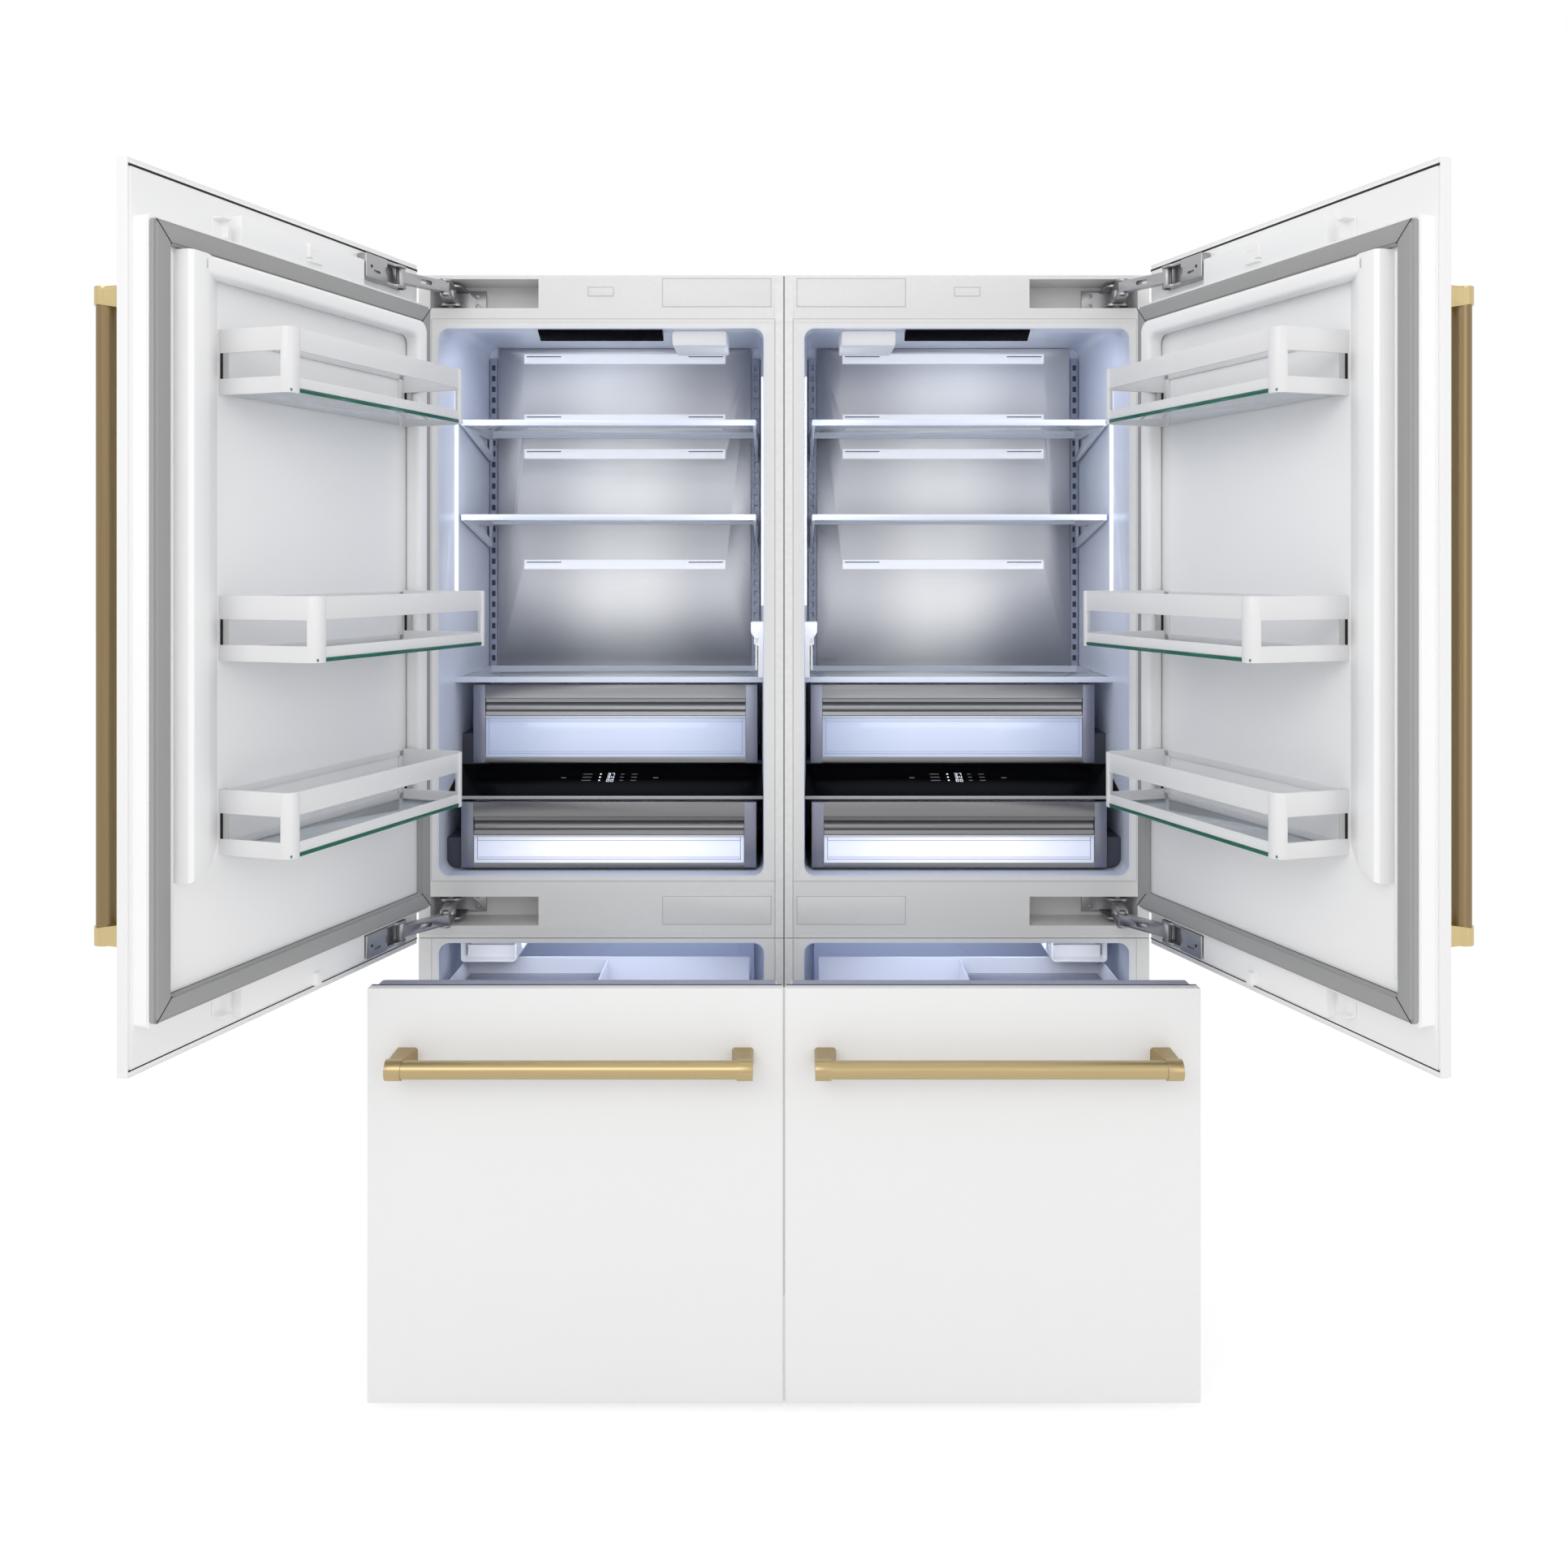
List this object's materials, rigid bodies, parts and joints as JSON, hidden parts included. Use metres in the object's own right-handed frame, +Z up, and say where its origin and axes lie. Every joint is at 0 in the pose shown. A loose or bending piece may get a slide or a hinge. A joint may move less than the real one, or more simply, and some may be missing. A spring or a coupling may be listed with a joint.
{
  "type": "french door refrigerator",
  "caption": "Tall built-in refrigerator pair with mirrored doors on concealed multi-link hinges, door bins, glass shelves, crispers and freezer drawers.",
  "frame": {"origin": "on the floor, in the middle of the model's footprint with the doors and drawers at rest", "axes": "+X to the right seen from the front, +Y to the rear, +Z up"},
  "size_m": [2.1084, 1.3538, 2.134],
  "materials": {
    "painted_case": "satin",
    "foam": "matte",
    "liner": "satin",
    "white_plastic": "satin",
    "duct_steel": "satin",
    "clear_glass": "gloss",
    "shelf_trim": "satin",
    "track_steel": "satin",
    "black_glass": "gloss",
    "lamp": "matte",
    "hinge_steel": "satin",
    "rail_steel": "satin",
    "dark_metal": "satin",
    "front_panel": "matte",
    "door_liner": "satin",
    "gasket": "matte",
    "bronze": "satin",
    "bin_white": "satin",
    "clear_plastic": "gloss",
    "crisper_steel": "satin",
    "freezer_shell": "satin"
  },
  "bodies": {
    "cabinet": {"outer_cases": "painted_case", "insulation": "foam", "fridge_liners": "liner", "freezer_liners": "liner", "hinge_covers": "white_plastic", "air_duct_panels": "duct_steel", "air_vents": "white_plastic", "glass_shelves": "clear_glass", "shelf_frames": "shelf_trim", "shelf_tracks": "track_steel", "control_panels": "black_glass", "light_strips": "lamp", "ceiling_housings": "clear_plastic", "water_dispensers": "white_plastic", "hinge_brackets": "hinge_steel", "ice_makers": "white_plastic", "drawer_rails": "rail_steel", "toe_kicks": "dark_metal", "feet_and_rollers": "dark_metal", "cooling_units": "dark_metal"},
    "left_door": {"left_door_panel": "front_panel", "left_door_shell": "painted_case", "left_door_liner": "door_liner", "left_door_gasket": "gasket", "left_door_handle": "bronze", "left_door_bins": "bin_white", "left_door_brackets": "hinge_steel"},
    "left_links": {"left_hinge_links": "hinge_steel"},
    "left_arms": {"left_hinge_arms": "hinge_steel"},
    "left_freezer_drawer": {"left_drawer_panel": "front_panel", "left_drawer_shell": "freezer_shell", "left_drawer_gasket": "gasket", "left_drawer_handle": "bronze", "left_drawer_baskets": "clear_plastic", "left_drawer_slides": "rail_steel"},
    "left_upper_drawer": {"left_upper_crisper": "clear_plastic", "left_upper_crisper_front": "crisper_steel"},
    "left_lower_drawer": {"left_lower_crisper": "clear_plastic", "left_lower_crisper_front": "crisper_steel"},
    "left_lever": {"left_water_lever": "white_plastic"},
    "right_door": {"right_door_panel": "front_panel", "right_door_shell": "painted_case", "right_door_liner": "door_liner", "right_door_gasket": "gasket", "right_door_handle": "bronze", "right_door_bins": "bin_white", "right_door_brackets": "hinge_steel"},
    "right_links": {"right_hinge_links": "hinge_steel"},
    "right_arms": {"right_hinge_arms": "hinge_steel"},
    "right_freezer_drawer": {"right_drawer_panel": "front_panel", "right_drawer_shell": "freezer_shell", "right_drawer_gasket": "gasket", "right_drawer_handle": "bronze", "right_drawer_baskets": "clear_plastic", "right_drawer_slides": "rail_steel"},
    "right_upper_drawer": {"right_upper_crisper": "clear_plastic", "right_upper_crisper_front": "crisper_steel"},
    "right_lower_drawer": {"right_lower_crisper": "clear_plastic", "right_lower_crisper_front": "crisper_steel"},
    "right_lever": {"right_water_lever": "white_plastic"}
  },
  "joints": [
    {"name": "left_door_hinge", "type": "hinge", "parent": "cabinet", "child": "left_door", "pos_m": [-0.7575, 0.04794, 1.465], "axis": [0, 0, -1], "range_deg": [-108, 5]},
    {"name": "left_link_pivot", "type": "hinge", "parent": "cabinet", "child": "left_links", "pos_m": [-0.696, 0.13794, 1.465], "axis": [0, 0, -1], "range_deg": [-105.8, 5]},
    {"name": "left_arm_pivot", "type": "hinge", "parent": "left_door", "child": "left_arms", "pos_m": [-0.74987, -0.04023, 1.465], "axis": [0, 0, 1], "range_deg": [-107, 5]},
    {"name": "left_freezer_slide", "type": "slide", "parent": "cabinet", "child": "left_freezer_drawer", "axis": [0, -1, 0], "range_m": [-0.286, 0.114]},
    {"name": "left_upper_crisper_slide", "type": "slide", "parent": "cabinet", "child": "left_upper_drawer", "axis": [0, -1, 0], "range_m": [0, 0.26]},
    {"name": "left_lower_crisper_slide", "type": "slide", "parent": "cabinet", "child": "left_lower_drawer", "axis": [0, -1, 0], "range_m": [0, 0.3]},
    {"name": "left_lever_pivot", "type": "hinge", "parent": "cabinet", "child": "left_lever", "pos_m": [-0.05987, 0.23594, 1.366], "axis": [0, -1, 0], "range_deg": [0, 7], "stiffness_Nm_per_rad": 0.2, "springref_deg": -17.19},
    {"name": "right_door_hinge", "type": "hinge", "parent": "cabinet", "child": "right_door", "pos_m": [0.7575, 0.04794, 1.465], "axis": [0, 0, 1], "range_deg": [-108, 5]},
    {"name": "right_link_pivot", "type": "hinge", "parent": "cabinet", "child": "right_links", "pos_m": [0.696, 0.13794, 1.465], "axis": [0, 0, 1], "range_deg": [-105.8, 5]},
    {"name": "right_arm_pivot", "type": "hinge", "parent": "right_door", "child": "right_arms", "pos_m": [0.74987, -0.04023, 1.465], "axis": [0, 0, -1], "range_deg": [-107, 5]},
    {"name": "right_freezer_slide", "type": "slide", "parent": "cabinet", "child": "right_freezer_drawer", "axis": [0, -1, 0], "range_m": [-0.286, 0.114]},
    {"name": "right_upper_crisper_slide", "type": "slide", "parent": "cabinet", "child": "right_upper_drawer", "axis": [0, -1, 0], "range_m": [0, 0.26]},
    {"name": "right_lower_crisper_slide", "type": "slide", "parent": "cabinet", "child": "right_lower_drawer", "axis": [0, -1, 0], "range_m": [0, 0.3]},
    {"name": "right_lever_pivot", "type": "hinge", "parent": "cabinet", "child": "right_lever", "pos_m": [0.05987, 0.23594, 1.366], "axis": [0, 1, 0], "range_deg": [0, 7], "stiffness_Nm_per_rad": 0.2, "springref_deg": -17.19}
  ],
  "couplings": [
    {"joint": "left_link_pivot", "follows": "left_door_hinge", "ratio": 0.97789},
    {"joint": "left_arm_pivot", "follows": "left_door_hinge", "ratio": 0.98943},
    {"joint": "right_link_pivot", "follows": "right_door_hinge", "ratio": 0.97789},
    {"joint": "right_arm_pivot", "follows": "right_door_hinge", "ratio": 0.98943}
  ]
}
